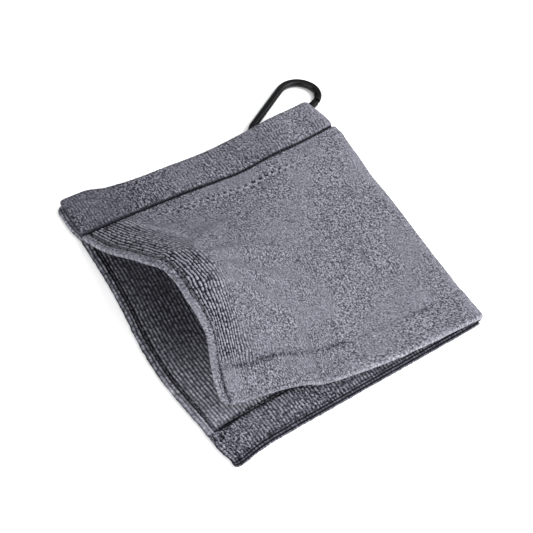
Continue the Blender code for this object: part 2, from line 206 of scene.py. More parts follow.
def pile(x, y, ribbed, seed=7):
    """Height of the pile from 0 to 1: loose tufts, combed into ribs along Y where ribbed is 1."""
    fuzz = np.random.default_rng(seed).normal(size=np.broadcast(x, y).shape)
    drift = noise(x, y, 6, seed + 1)
    rows = lattice(x + 0.3 * drift, y, (RIB, 1.35), (0.07, 0.4), (0.45, 0.90), 0.28, seed + 2)
    loose_x = x + 0.6 * drift + 0.25 * noise(x, y, 1.7, seed + 3)
    loose_y = y + 0.5 * noise(x, y, 2.9, seed + 4)
    loose = lattice(loose_x, loose_y, (LOOSE, LOOSE), (0.42, 0.42), (0.62, 0.70), 0.30, seed + 5)
    brushed = 0.7 * smooth(1.1 * noise(x, y, 12, seed + 6) + 0.3)
    loose = mix(loose, 0.45 + 0.25 * (loose - 0.45), brushed)
    return np.clip(mix(loose, rows, ribbed) + 0.07 * fuzz, 0, 1)


# ---- meshes

EDGE_STEPS = np.array((0, 0.10, 0.30, 0.62, 1.05))


def steps(start, end, step):
    """Coordinates from start to end about step apart, closer together beside the rounded edges."""
    length = abs(end - start)
    tail = length - EDGE_STEPS[::-1]
    inner = np.linspace(EDGE_STEPS[-1], tail[0], max(2, round((tail[0] - EDGE_STEPS[-1]) / step)))[1:-1]
    return start + np.sign(end - start) * np.concatenate((EDGE_STEPS, inner, tail))


def edge(distance, radius):
    """Profile of a rounded edge: 0 at the edge, 1 from radius inwards."""
    return np.sqrt(1 - (1 - np.clip(distance / radius, 0, 1)) ** 2)


def round_corner(a, b, radius):
    """Bends the two distances to the sides of a corner so that the corner is round."""
    p, q = np.clip(1 - a / radius, 0, 1), np.clip(1 - b / radius, 0, 1)
    inside = (p > 0) & (q > 0)
    moved_a = radius * (1 - p * np.sqrt(1 - q ** 2 / 2))
    moved_b = radius * (1 - q * np.sqrt(1 - p ** 2 / 2))
    return np.where(inside, moved_a, a), np.where(inside, moved_b, b)


def normals(grid):
    across = np.gradient(grid, axis=1)
    along = np.gradient(grid, axis=0)
    normal = np.cross(along, across)
    return normal / np.maximum(np.linalg.norm(normal, axis=-1, keepdims=True), 1e-12)


def distances(path):
    """Distance of each point of a path from its start, along the path."""
    return np.concatenate(((0,), np.cumsum(np.linalg.norm(np.diff(path, axis=0), axis=1))))


def resample(path, length, at):
    """The points of a path at the given distances; length holds those of its own points."""
    return np.stack([np.interp(at, length, path[:, axis]) for axis in range(path.shape[1])], -1)


def rings_along(path, outline, size):
    """Rings of points round a path: its outline, level then upright, times each point's size."""
    tangent = np.gradient(path, axis=0)
    tangent /= np.linalg.norm(tangent, axis=1, keepdims=True)
    side = np.cross(tangent, (0.0, 0.0, 1.0))
    side /= np.linalg.norm(side, axis=1, keepdims=True)
    over = np.cross(side, tangent)
    spokes = side[:, None] * outline[:, :1] + over[:, None] * outline[:, 1:]
    return path[:, None] + size[:, None, None] * spokes


def quads(index):
    """The faces of a grid of points, given each point's number."""
    corners = (index[:-1, :-1], index[1:, :-1], index[1:, 1:], index[:-1, 1:])
    return np.stack(corners, -1).reshape(-1, 4)


def placed(name, data):
    """An object with the given mesh, light or camera, in the scene."""
    made = bpy.data.objects.new(name, data)
    bpy.context.scene.collection.objects.link(made)
    return made


def skin(mesh, rings):
    """Adds rings of points to a bmesh, with faces between each ring and the next."""
    made = [[mesh.verts.new(Vector(p) * MM) for p in ring] for ring in rings]
    for ring, after in zip(made, made[1:]):
        for a in range(len(ring)):
            b = (a + 1) % len(ring)
            mesh.faces.new((ring[a], after[a], after[b], ring[b]))
    return made


def from_bmesh(name, mesh):
    bmesh.ops.recalc_face_normals(mesh, faces=mesh.faces)
    data = bpy.data.meshes.new(name)
    mesh.to_mesh(data)
    mesh.free()
    return placed(name, data)


def make_mesh(name, verts, faces, attributes=()):
    mesh = bpy.data.meshes.new(name)
    verts = np.asarray(verts, float) * MM
    faces = np.asarray(faces, np.int32)
    mesh.vertices.add(len(verts))
    mesh.vertices.foreach_set("co", verts.astype(np.float32).ravel())
    sides = faces.shape[1]
    mesh.loops.add(faces.size)
    mesh.loops.foreach_set("vertex_index", faces.ravel())
    mesh.polygons.add(len(faces))
    mesh.polygons.foreach_set("loop_start", np.arange(len(faces), dtype=np.int32) * sides)
    mesh.update(calc_edges=True)
    mesh.validate()
    mesh.shade_smooth()
    for label, kind, values in attributes:
        field = "vector" if kind == "FLOAT_VECTOR" else "value"
        stored = mesh.attributes.new(label, kind, "POINT")
        stored.data.foreach_set(field, np.asarray(values, np.float32).ravel())
    return placed(name, mesh)


def cloth(name, middle, up, down, flat, shade_up, shade_down):
    """A closed layer of cloth: its two faces stand up and down from the middle and meet at the rim.

    flat is each point's place on the cloth for the weave's texture, and shade its tone from 0 to 1, which
    on the pile cloth holds painted shade in the pits between tufts and in dents and grooves, and painted
    highlights.
    """
    rows, cols = middle.shape[:2]
    normal = normals(middle)
    upper = middle + normal * up[..., None]
    lower = (middle - normal * down[..., None])[1:-1, 1:-1]
    upper[0], upper[-1], upper[:, 0], upper[:, -1] = (
        middle[0], middle[-1], middle[:, 0], middle[:, -1])
    top = np.arange(rows * cols).reshape(rows, cols)
    bottom = top.copy()
    bottom[1:-1, 1:-1] = rows * cols + np.arange((rows - 2) * (cols - 2)).reshape(rows - 2, cols - 2)
    faces = np.vstack((quads(top), quads(bottom)[:, ::-1]))
    verts = np.vstack((upper.reshape(-1, 3), lower.reshape(-1, 3)))
    both_flat = np.vstack((flat.reshape(-1, 3), flat[1:-1, 1:-1].reshape(-1, 3)))
    shade = np.concatenate((shade_up.ravel(), shade_down[1:-1, 1:-1].ravel()))
    return make_mesh(name, verts, faces, (
        ("flat", "FLOAT_VECTOR", both_flat), ("shade", "FLOAT", shade)))


# ---- materials

def put(made, **inputs):
    """Sets the values of a shader node's own sockets."""
    for label, value in inputs.items():
        made.inputs[label.replace("_", " ")].default_value = value


def nodes_of(name, colour, roughness):
    made = bpy.data.materials.new(name)
    made.use_nodes = True
    tree = made.node_tree
    shader = tree.nodes["Principled BSDF"]
    put(shader, Base_Color=(*colour, 1), Roughness=roughness)
    return made, tree, shader


def node(tree, kind, **inputs):
    made = tree.nodes.new(kind)
    put(made, **inputs)
    return made


def scaled(tree, source, scale):
    """source, a vector in millimetres, times scale along each axis."""
    made = node(tree, "ShaderNodeMapping", Scale=scale)
    tree.links.new(source, made.inputs["Vector"])
    return made.outputs["Vector"]


def ramp(tree, source, *stops):
    made = tree.nodes.new("ShaderNodeValToRGB")
    tree.links.new(source, made.inputs["Fac"])
    made.color_ramp.elements[0].position = stops[0][0]
    made.color_ramp.elements[0].color = (*stops[0][1], 1)
    made.color_ramp.elements[1].position = stops[-1][0]
    made.color_ramp.elements[1].color = (*stops[-1][1], 1)
    for place, colour in stops[1:-1]:
        made.color_ramp.elements.new(place).color = (*colour, 1)
    return made.outputs["Color"]


def multiply(tree, a, b):
    made = tree.nodes.new("ShaderNodeMix")
    made.data_type = "RGBA"
    made.blend_type = "MULTIPLY"
    made.inputs["Factor"].default_value = 1.0
    tree.links.new(a, made.inputs["A"])
    tree.links.new(b, made.inputs["B"])
    return made.outputs["Result"]


def attribute(tree, name, output):
    """An output of a named attribute of the mesh."""
    made = tree.nodes.new("ShaderNodeAttribute")
    made.attribute_name = name
    return made.outputs[output]


def texture(tree, where, **inputs):
    made = node(tree, "ShaderNodeTexNoise", **inputs)
    tree.links.new(where, made.inputs["Vector"])
    return made.outputs["Fac"]


def add_bump(tree, shader, height, strength, distance):
    made = node(tree, "ShaderNodeBump", Strength=strength, Distance=distance)
    tree.links.new(height, made.inputs["Height"])
    tree.links.new(made.outputs["Normal"], shader.inputs["Normal"])


def grey(value):
    return (value, value, value)


def pile_material():
    made, tree, shader = nodes_of("pile cloth", (0.27, 0.27, 0.32), 0.95)
    where = attribute(tree, "flat", "Vector")
    fibres = texture(tree, scaled(tree, where, (1.7, 1.3, 1.0)), Scale=1.0, Detail=5.0, Roughness=0.62)
    patches = texture(tree, scaled(tree, where, (0.22, 0.16, 1.0)), Scale=1.0, Detail=3.0, Roughness=0.55)
    base = ramp(tree, attribute(tree, "shade", "Fac"),
                (0.0, (0.004, 0.004, 0.006)), (0.25, (0.052, 0.052, 0.066)),
                (0.50, (0.171, 0.171, 0.203)), (1.0, (0.44, 0.44, 0.500)))
    grain = ramp(tree, fibres, (0.34, grey(0.44)), (0.50, grey(0.80)), (0.68, grey(1.0)))
    drift = ramp(tree, patches, (0.30, grey(0.84)), (0.70, grey(1.0)))
    colour = multiply(tree, multiply(tree, base, grain), drift)
    tree.links.new(colour, shader.inputs["Base Color"])
    add_bump(tree, shader, fibres, 0.45, 0.00025)
    put(shader, Sheen_Weight=0.02, Sheen_Roughness=0.55, Sheen_Tint=(0.85, 0.86, 1.0, 1))
    put(shader, Specular_IOR_Level=0.05)
    return made


def thread_material(name, colour):
    made, tree, shader = nodes_of(name, colour, 0.7)
    place = tree.nodes.new("ShaderNodeTexCoord").outputs["Object"]
    twist = texture(tree, place, Scale=2600.0, Detail=3.0)
    dark = tuple(0.55 * c for c in colour)
    tree.links.new(ramp(tree, twist, (0.3, dark), (0.7, colour)), shader.inputs["Base Color"])
    add_bump(tree, shader, twist, 0.5, 0.0001)
    put(shader, Sheen_Weight=0.05)
    return made


def metal_material(name, colour, bright, roughness, metallic, specular, scale):
    """Blasted metal: fine grain changes its gloss, and broad wear its colour from colour to bright."""
    made, tree, shader = nodes_of(name, colour, roughness)
    place = tree.nodes.new("ShaderNodeTexCoord").outputs["Object"]
    fine = texture(tree, place, Scale=scale, Detail=5.0, Roughness=0.6)
    wear = texture(tree, place, Scale=scale / 14, Detail=4.0)
    worn = ramp(tree, wear, (0.35, colour), (0.75, bright))
    gloss = ramp(tree, fine, (0.3, grey(roughness * 0.8)), (0.7, grey(roughness * 1.25)))
    tree.links.new(worn, shader.inputs["Base Color"])
    tree.links.new(gloss, shader.inputs["Roughness"])
    add_bump(tree, shader, fine, 0.25, 0.00005)
    put(shader, Metallic=metallic, Specular_IOR_Level=specular)
    return made


PILE = pile_material()
SEAM_THREAD = thread_material("seam thread", (0.006, 0.006, 0.008))
HEM_THREAD = thread_material("hem thread", (0.060, 0.060, 0.074))
WEBBING = thread_material("black ribbon", (0.030, 0.030, 0.033))
BLACK = metal_material("black anodised aluminium", (0.0030, 0.0030, 0.0034), (0.0060, 0.0060, 0.0068),
                       0.22, 0.0, 0.12, 900)
STEEL = metal_material("spring steel", (0.46, 0.46, 0.48), (0.60, 0.60, 0.62), 0.28, 1.0, 0.5, 700)


def finish(made, material):
    made.data.materials.clear()
    made.data.materials.append(material)
    return made


def stand_in(made, cad_node, body):
    """Shows a piece in place of a CAD node, carried by the node's body."""
    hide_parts(cad_node)
    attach(made, body)


def pile_layer(name, middle, up, under, across, along, level, shade, tufts):
    """A layer of the pile cloth. level keeps the layers' textures apart."""
    flat = points(across, along, level)
    # The underside's tone follows its tufts: painted shade in the pits between them.
    made = cloth(name, middle, up, under, flat, shade, 0.12 + 0.8 * tufts)
    return finish(made, PILE)


# ---- front layer

COLUMN, ROW = 0.28, 0.34  # spacing of the cloth meshes' points across and along the ribs
TUCK = 5.0  # how far a layer's end runs under its neighbour
CORNER, BAND_CORNER = 3.2, 3.5  # radii of the free corners of a layer and of the band
RIM, BAND_RIM, UNDER_RIM = 1.7, 1.9, 1.6  # depth of the round rims: a layer, the band, its back layer
END_RIM = 2.0  # the same at ends that lie under or beside another layer
FRAY = 1.5  # how far in the rims' unevenness reaches
DASH, DENT = 3.8, 0.55  # length of the worn stitches below the seam, and half their width
DENT_ROWS = (7.6, 9.7)  # their two rows' distances from the seam
LIGHT_ROWS = (8.7, 8.0)  # the painted highlights on the tufts beside each of those rows

# Other numbers inside hill and smooth are places and widths on the flat cloth, judged one by one.


def folded(top, low, x, end_x):
    """Carries a layer round the side fold.

    top is the layer's middle up to end_x, low the level below it, x where each point was before.
    """
    radius = (top[..., 2] - low) / 2
    turn = np.clip((x - end_x) / radius, 0, math.pi)
    under = np.clip(x - end_x - math.pi * radius, 0, None)
    round_x = top[..., 0] + radius * np.sin(turn) - under
    round_z = top[..., 2] - radius * (1 - np.cos(turn))
    past = x > end_x
    made = top.copy()
    made[..., 0] = np.where(past, round_x, top[..., 0])
    made[..., 2] = np.where(past, round_z, top[..., 2])
    return made


FOLD_LENGTH = math.pi * (FRONT_Z - CLOTH / 2) / 2


def front_middle(x, y):
    """Middle of the front layer at flat cloth coordinates, round the side fold too."""
    s = np.clip((x + HALF) / (FOLD_X + HALF), 0, 1)
    t = (PANEL_TOP - y) / (PANEL_TOP + HALF)
    top = front_point(s, t)
    top[..., 0] += fold_out(y) * smooth((s - 0.6) / 0.4)
    # The free corner lies a little further towards the mouth than its edges' curves put it.
    free = smooth(1 - (x + HALF) / 75) * smooth(1 - (y + HALF) / 24)
    top[..., 0] -= 3.0 * free
    top[..., 1] -= 0.4 * free
    low = CLOTH / 2 + lift(np.full(y.shape, FOLD_X), y)
    return folded(top, low, x, FOLD_X)


SIM_SCALE = 10.0  # Blender's cloth behaves better on a larger model
SIM_CELLS = (58, 50)  # cells across and along the simulated cloth
SIM_FRAMES = 24
BALL, BALL_RADIUS = (-54.5, -5.8, 23.0), 21.4  # the golf ball that holds the mouth open
MOST_MOVE = 3.5  # no point settles further than this
FABRIC = {
    "quality": 8, "mass": 0.3, "air_damping": 3,
    "tension_stiffness": 60, "compression_stiffness": 60, "shear_stiffness": 12, "bending_stiffness": 6,
    "tension_damping": 10, "compression_damping": 10, "shear_damping": 10, "bending_damping": 2,
}


def ball_and_back():
    """The two things that the front layer lies on while it settles: the ball and the back layer."""
    bpy.ops.mesh.primitive_uv_sphere_add(segments=48, ring_count=32, radius=BALL_RADIUS * SIM_SCALE * MM,
                                         location=Vector(BALL) * SIM_SCALE * MM)
    ball = bpy.context.object
    bpy.ops.mesh.primitive_plane_add(size=4, location=(0, 0, CLOTH * SIM_SCALE * MM))
    table = bpy.context.object
    for form in (ball, table):
        form.modifiers.new("form", "COLLISION")
        form.collision.thickness_outer = 0.6 * SIM_SCALE * MM
        form.collision.cloth_friction = 8
    return [ball, table]


def settled():
    """How far each point of the front layer moves as it settles, by cloth simulation.

    Its seam, its fold and the part over the clip are held, and its free edges are held softly.
    """
    columns, rows = SIM_CELLS
    x, y = np.meshgrid(np.linspace(-HALF, FOLD_X, columns + 1), np.linspace(PANEL_TOP, -HALF, rows + 1))
    start = front_middle(x, y)
    cut = points(x, y, FRONT_Z)
    index = np.arange(x.size).reshape(x.shape)
    made = make_mesh("settling", start.reshape(-1, 3) * SIM_SCALE, quads(index))
    made.shape_key_add(name="laid out")
    flat = made.shape_key_add(name="cut")
    flat.data.foreach_set("co", (cut * SIM_SCALE * MM).astype(np.float32).ravel())

    hold = made.vertex_groups.new(name="held")
    to_edge = np.minimum(x + HALF, y + HALF)
    held = 0.03 + 0.75 * smooth(1 - to_edge / 9)
    held[0] = held[:, -1] = 1.0
    held = np.maximum(held, smooth(lift(x + 12, y + 12) / 0.6))
    for k, weight in enumerate(held.ravel()):
        hold.add([k], float(weight), "REPLACE")
    sim = made.modifiers.new("settle", "CLOTH")
    for setting, value in FABRIC.items():
        setattr(sim.settings, setting, value)
    sim.settings.vertex_group_mass = hold.name
    sim.settings.rest_shape_key = flat
    sim.collision_settings.distance_min = 1.2 * SIM_SCALE * MM
    sim.collision_settings.collision_quality = 3
    sim.point_cache.frame_start, sim.point_cache.frame_end = 1, SIM_FRAMES
    forms = ball_and_back()
    for frame_number in range(1, SIM_FRAMES + 1):
        bpy.context.scene.frame_set(frame_number)
    shown = made.evaluated_get(bpy.context.evaluated_depsgraph_get())
    end = np.empty(x.size * 3, np.float32)
    shown.data.vertices.foreach_get("co", end)
    bpy.context.scene.frame_set(1)
    for thing in [made] + forms:
        data = thing.data
        bpy.data.objects.remove(thing)
        bpy.data.meshes.remove(data)
    moved = end.reshape(start.shape).astype(float) / (SIM_SCALE * MM) - start
    size = np.linalg.norm(moved, axis=-1, keepdims=True)
    return moved * np.minimum(1, MOST_MOVE / np.maximum(size, 1e-9))


def spread(moved, across, along):
    """The simulated movement at each point of the fine grid, by smooth interpolation both ways."""
    rows, columns = moved.shape[:2]
    down = through(moved.reshape(rows, -1), (PANEL_TOP - along) / (PANEL_TOP + HALF))
    down = down.reshape(len(along), columns, 3).swapaxes(0, 1).reshape(columns, -1)
    both = through(down, (across + HALF) / (FOLD_X + HALF))
    return both.reshape(len(across), len(along), 3).swapaxes(0, 1)


def ridge_line(y):
    """X of the ridge that runs from the seam down to the mouth."""
    return -43 - 9 * smooth((y - 16) / 38)


def front_creases(x, y):
    """Height of the soft folds that the front layer has settled into."""
    valley_x = -12.5 - 2.0 * np.sin((y + 36) / 9.5)
    valley = -1.1 * hill(x, valley_x, 3.4) + 0.9 * hill(x, valley_x - 7, 4.0)
    valley = valley * smooth((-24 - y) / 16)
    ridge = 0.9 * hill(x, ridge_line(y), 3.6) + 0.3 * hill(x, ridge_line(y) + 8, 6.0)
    ridge = ridge * smooth((y - 12) / 14) * smooth((PANEL_TOP - y) / 6)
    below_seam = 0.5 * hill(y, 46.5, 2.6) * smooth((x + 52) / 15)
    hem_wave = 0.7 * hill(x, -44, 6) * hill(y, -50, 7) - 0.5 * hill(x, -30, 7) * hill(y, -58, 9)
    return valley + ridge + below_seam + hem_wave


def hems(from_left, from_bottom):
    """The bottom hem, as 1 on it and 0 above it, and the half thickness of a layer with both hems."""
    hem = smooth((BOTTOM_HEM - from_bottom) / 1.2 + 0.5)
    side_hem = smooth((SIDE_HEM - from_left) / 1.0 + 0.5)
    return hem, mix(CLOTH, HEM, np.maximum(hem, side_hem)) / 2


def rough_rim(x, y, seed):
    """Small unevenness of a cut or folded edge."""
    return 0.22 * noise(x, y, 1.3, seed)


def worn_stitches(x, y, from_seam):
    """The worn row of stitches below the seam: its dents, and painted highlights on the tufts between
    them.
    """
    row = smooth((x + 38) / 8) * smooth((50 - x) / 16) * (0.70 + 0.35 * noise(x, y, 5, 41))
    dash = smooth(0.5 + np.sin(2 * math.pi * x / DASH + 4 * noise(x, y, 9, 46)))
    dents = np.maximum(row * dash * hill(from_seam, DENT_ROWS[0], DENT),
                       0.7 * row * (1 - dash) * hill(from_seam, DENT_ROWS[1], DENT))
    light = 0.30 * dash * hill(from_seam, LIGHT_ROWS[0], DENT)
    light = light + 0.22 * (1 - dash) * hill(from_seam, LIGHT_ROWS[1], 0.5)
    return dents, row * light


def hem_dents(x, y, from_left, from_bottom):
    """The dents of the stitches that hold the front layer's two hems, faint along the bottom."""
    faint = 0.36 + 0.20 * noise(x, y, 9, 43) + 0.20 * noise(x, y, 1.2, 44)
    faint = faint * (1 - 0.5 * smooth((x - 5) / 30))
    bottom = faint * hill(from_bottom, BOTTOM_HEM - 1.0, 1.1) * smooth((from_left - 3) / 3)
    return np.maximum(bottom, 0.7 * hill(from_left, SIDE_HEM - 0.6, 0.8))


def front_ribs(x, y, from_left, from_bottom):
    """Where the front layer's ribs show: beside its open side, with a patch near its lower corner."""
    ribbed = smooth((from_left - 2) / 2) * smooth((30 - from_left) / 22) * smooth((from_bottom - 16) / 8)
    corner_patch = 0.4 * hill(x, -46, 12) * hill(y, -54, 8)
    ribbed = np.clip(ribbed + 0.05 + 0.12 * noise(x, y, 14, 5) + corner_patch, 0, 1)
    return ribbed * smooth((from_left - 1) / 2.5)


def build_front():
    """The front layer with its side fold. Also returns its grid and middle, for the stitches on it."""
    across = steps(-HALF, FOLD_X + FOLD_LENGTH + TUCK, COLUMN)
    along = steps(PANEL_TOP, -HALF, ROW)
    x, y = np.meshgrid(across, along)
    from_left, from_seam, from_bottom = x + HALF, PANEL_TOP - y, y + HALF
    left, bottom = round_corner(from_left, from_bottom, CORNER)
    fold_corner = 0.2 * hill(x, HALF, 3.2) * smooth(1 - from_bottom / 14)
    rim = rough_rim(x, y, 3)
    flat_x = -HALF + left + rim * (1 - edge(from_left, FRAY))
    flat_y = -HALF + bottom + fold_corner - rim * (1 - edge(from_bottom, FRAY))
    flat_y = flat_y - 1.1 * hill(x, -52, 18) * smooth(1 - from_bottom / 14)
    middle = front_middle(flat_x, flat_y)
    middle = middle + spread(settled(), across, along)
    soft = smooth(from_seam / 12) * smooth(from_left / 10) * smooth(from_bottom / 8)
    creases = 0.45 * noise(x, y, 19, 11) * soft + front_creases(x, y)
    middle = middle + normals(middle) * creases[..., None]

    thick = hems(from_left, from_bottom)[1]
    dents, between = worn_stitches(x, y, from_seam)
    stitches = np.maximum(hem_dents(x, y, from_left, from_bottom), dents)
    ribbed = front_ribs(x, y, from_left, from_bottom)
    tufts = pile(x, y, ribbed)
    tufts = mix(tufts, 0.55, 0.4 * smooth((x - FOLD_X + 3) / 3))
    depth = mix(0.42, 1.0, ribbed)
    rounding = edge(from_left, RIM) * edge(from_bottom, RIM) * edge(across[-1] - x, END_RIM)
    up = (thick + 0.25 - depth * (1 - tufts) - 0.75 * stitches) * rounding * edge(from_seam, 1.0)
    under = (thick - 0.40 * (1 - pile(x, y, ribbed, 21))) * rounding * edge(from_seam, END_RIM)

    rim_light = 0.40 * (1 - edge(np.minimum(from_bottom, from_left + 0.6), 2.6))
    ridge_light = 0.13 * hill(x, ridge_line(y) + 0.6, 1.8)
    ridge_light = ridge_light * smooth((y - 8) / 14) * smooth((PANEL_TOP - 2 - y) / 5)
    # Darker where the tufts are low, most between the ribs: painted shade in the pits.
    contrast = 0.50 + 0.05 * ribbed + (0.72 + 1.1 * ribbed) * (tufts - 0.49)
    contrast = np.minimum(contrast, 0.78 - 0.08 * ribbed) + ridge_light
    # The stitch dents are painted darker (painted shade in them), and between adds painted highlights on
    # the tufts beside the worn row.
    shade = np.clip(contrast + rim_light + between - 0.45 * stitches, 0, 1)
    # Painted shade down into the seam's groove.
    shade = shade * smooth((from_seam - 0.1) / 0.5)
    made = pile_layer("front_cloth", middle, up, under, x, y, 0.0, shade, tufts)
    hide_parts("front_panel", "front_flap", "front_side_hem", "front_bottom_hem", "side_fold")
    return made, (across, along, middle)


# ---- the band above the seam

def band_corner(x, from_top):
    """How far the band's top edge falls away at the side fold."""
    return 2.6 * hill(x, BAND_END + 1, 4.2) * smooth(1 - from_top / 12)


def build_band():
    """The band's front layer, which turns round the side fold and ends under the band's back layer."""
    level, low = HEM + GAP + BAND / 2, HEM / 2
    bend = BAND_END - (level - low) / 2 - BAND / 2 + 0.4
    length = math.pi * (level - low) / 2
    across = steps(-HALF - 0.3, bend + length + TUCK, COLUMN)
    share = steps(0, SEAM_Y - HALF, ROW) / (SEAM_Y - HALF)
    x, v = np.meshgrid(across, share)
    top_y = top_edge(np.clip(x, -HALF, HALF)) + 0.5
    width = top_y - (SEAM_Y - 0.2)
    from_top, from_seam, from_left = v * width, (1 - v) * width, x - across[0]
    left, top = round_corner(from_left, from_top, BAND_CORNER)
    rim = rough_rim(x, from_top, 33)
    y = top_y - top - band_corner(x, from_top) + rim * (1 - edge(from_top, FRAY))
    flat_x = across[0] + left + 1.1 * smooth(1 - from_left / 12) * smooth(from_top / 5)
    z = mix(FRONT_Z + 0.6, level, edge(from_seam, 4.0)) + 0.35 * noise(x, y, 16, 8)
    z = z - 0.8 * (1 - edge(from_top, 3.0))
    bend = bend - 3.4 * smooth(from_seam / 18)
    top_layer = settle(np.minimum(flat_x, bend), y, z)
    middle = folded(top_layer, low + lift(bend, y), flat_x, bend)
    ribbed = np.clip(0.15 + 0.25 * noise(x, y, 12, 6), 0, 1)
    tufts = pile(x, y, ribbed, 109)
    rounding = edge(from_top, BAND_RIM) * edge(from_left, BAND_RIM) * edge(across[-1] - x, END_RIM)
    thick = BAND / 2 + 0.35 * np.sin(math.pi * np.clip(v, 0, 1))
    up = (thick + 0.2 - 0.6 * (1 - tufts)) * rounding * edge(from_seam, 1.6)
    # The underside is thinner where the clip's gate swings below it.
    clip_room = 0.9 * smooth((x - 24) / 6) * smooth((64 - x) / 6) * smooth((13 - from_seam) / 4)
    under = (BAND / 2 - 0.3 - clip_room - 0.3 * (1 - tufts)) * rounding * edge(from_seam, BAND_RIM)
    # Painted shade down into the seam's groove, wider towards the open end.
    painted_seam_shade = smooth((from_seam - 0.1) / mix(1.7, 0.7, smooth((x + HALF) / 90)))
    # Painted shade in the pits between tufts, painted shade towards the open end and painted light
    # towards the fold.
    tone = 0.46 + 0.85 * (tufts - 0.49) - 0.09 * smooth((-12 - x) / 40) + 0.05 * smooth((x - 30) / 20)
    shade = mix(tone * painted_seam_shade, 0.55 * painted_seam_shade, 0.5 * smooth((x - bend + 3) / 4))
    made = pile_layer("top_band", middle, up, under, x, y, 1.0, shade, tufts)
    stand_in(made, "top_band_front", "pouch")
    return made


# ---- back layer

def build_back():
    """The back layer from its open side to the side fold, with raised hems."""
    width = FOLD_X + HALF - 1.2
    across = steps(0, width, COLUMN)
    along = steps(PANEL_TOP, -HALF, ROW)
    u, y = np.meshgrid(across, along)
    from_left, from_bottom, from_seam, from_end = u, y + HALF, PANEL_TOP - y, width - u
    left, bottom = round_corner(from_left, from_bottom, CORNER)
    rim = rough_rim(u, y, 13)
    flat_y = -HALF + bottom - rim * (1 - edge(from_bottom, FRAY))
    fold_corner = 0.5 * hill(from_end, -1, 3.4) * smooth(1 - from_bottom / 14)
    flat_y = flat_y + fold_corner - bottom_drop(u - HALF) * smooth(1 - from_bottom / 45)
    edge_x = back_left(flat_y)
    x = edge_x + left * (FOLD_X - 1.2 - edge_x) / width + rim * (1 - edge(from_left, FRAY))
    x = x + fold_out(flat_y) * smooth((u / width - 0.6) / 0.4)
    x = x + 1.5 * hill(from_bottom, 3.5, 4.5) * smooth(1 - from_left / 12)
    x = x + 2.7 * hill(from_end, 0, 6) * smooth(1 - from_bottom / 10)
    hem, thick = hems(from_left, from_bottom)
    middle = settle(x, flat_y, thick)
    stitches = hill(from_bottom, BOTTOM_HEM + 0.1, 1.1) * smooth((from_left - 3) / 3)
    stitches = np.maximum(stitches, mix(0.8, 0.3, hem) * hill(from_left, SIDE_HEM - 0.6, 0.8))
    ribbed = np.clip(0.85 + 0.2 * noise(u, y, 14, 15) - 0.45 * hem, 0, 1)
    tufts = pile(u, y, ribbed, 17)
    lines = np.cos(math.pi * np.clip((from_bottom - 0.9) / 1.35, -0.5, 2.5)) ** 2
    lines = lines * smooth(1.4 - from_bottom / 3.6)
    rounding = edge(from_left, RIM) * edge(from_bottom, RIM) * edge(from_end, END_RIM)
    rounding = rounding * edge(from_seam, END_RIM)
    up = (thick + 0.15 - 0.7 * (1 - tufts) - 0.9 * stitches - 0.45 * lines) * rounding
    under = (thick - 0.3 * (1 - pile(u, y, ribbed, 23))) * rounding
    # Painted light on the back layer towards its open side and bottom, above the hem, where light reaches
    # in through the pocket's mouth.
    painted_mouth_light = smooth((-8 - y) / 30) * smooth((-20 - x) / 20) * (1 - hem)
    contrast = 0.47 + (0.85 + 0.4 * hem) * (tufts - 0.48) + 0.17 * painted_mouth_light - 0.04 * hem
    # Painted shade inside the pocket, from the open side's edge inwards and from low down up to the seam.
    inside = smooth((y + 34) / 34) * smooth((x + 70) / 12)
    contrast = contrast * (1 - 0.36 * inside)
    contrast = mix(contrast, 0.44, 0.6 * smooth(1.3 - from_bottom / 3.5))
    # The stitch dents and the grooves along the bottom edge are painted darker: painted shade in them.
    shade = np.clip(contrast - 0.6 * stitches - lines * (0.75 + 0.35 * noise(u, y, 1.6, 45)), 0, 1)
    made = pile_layer("back_cloth", middle, up, under, u, y, 2.0, shade, tufts)
    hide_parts("back_panel", "back_side_hem", "back_bottom_hem")
    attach(made, "pouch")
    return made


def build_back_band():
    """The band's back layer, which lies on the floor under the front one."""
    level = HEM / 2
    across = steps(-HALF - 1.5, BAND_END - 2.2, COLUMN)
    share = steps(0, SEAM_Y - HALF, ROW) / (SEAM_Y - HALF)
    x, v = np.meshgrid(across, share)
    width = top_edge(x) - SEAM_Y + 0.4
    from_top, from_seam, from_left = v * width, (1 - v) * width, x - across[0]
    left, top = round_corner(from_left, from_top, BAND_CORNER)
    y = top_edge(x) - top - band_corner(x, from_top)
    flat_x = across[0] + left + 1.5 * smooth(1 - from_seam / 9) * smooth(1 - from_left / 10)
    middle = settle(flat_x, y, level)
    ribbed = np.full(x.shape, 0.6)
    tufts = pile(x, y, ribbed, 29)
    rounding = edge(from_top, UNDER_RIM) * edge(from_left, UNDER_RIM)
    rounding = rounding * edge(across[-1] - x, END_RIM) * edge(from_seam, END_RIM)
    up = (level - 0.3 * (1 - tufts)) * rounding
    under = (level - 0.3 * (1 - pile(x, y, ribbed, 31))) * rounding
    # Its tone is the tufts' height: painted shade in the pits between them.
    made = pile_layer("top_band_under", middle, up, under, x, y, 3.0, tufts, tufts)
    stand_in(made, "top_band_back", "pouch")
    return made


# ---- stitches

SEAM_STITCH = (2.9, 0.5, 0.33)  # length of a stitch with its gap, the gap, and the thread's radius
HEM_STITCH = (2.7, 0.6, 0.24)
STITCH_DIVE = 0.25  # how far a stitch's ends go down into the cloth
STITCH_POINTS = 6
TUBE_SIDES = 6


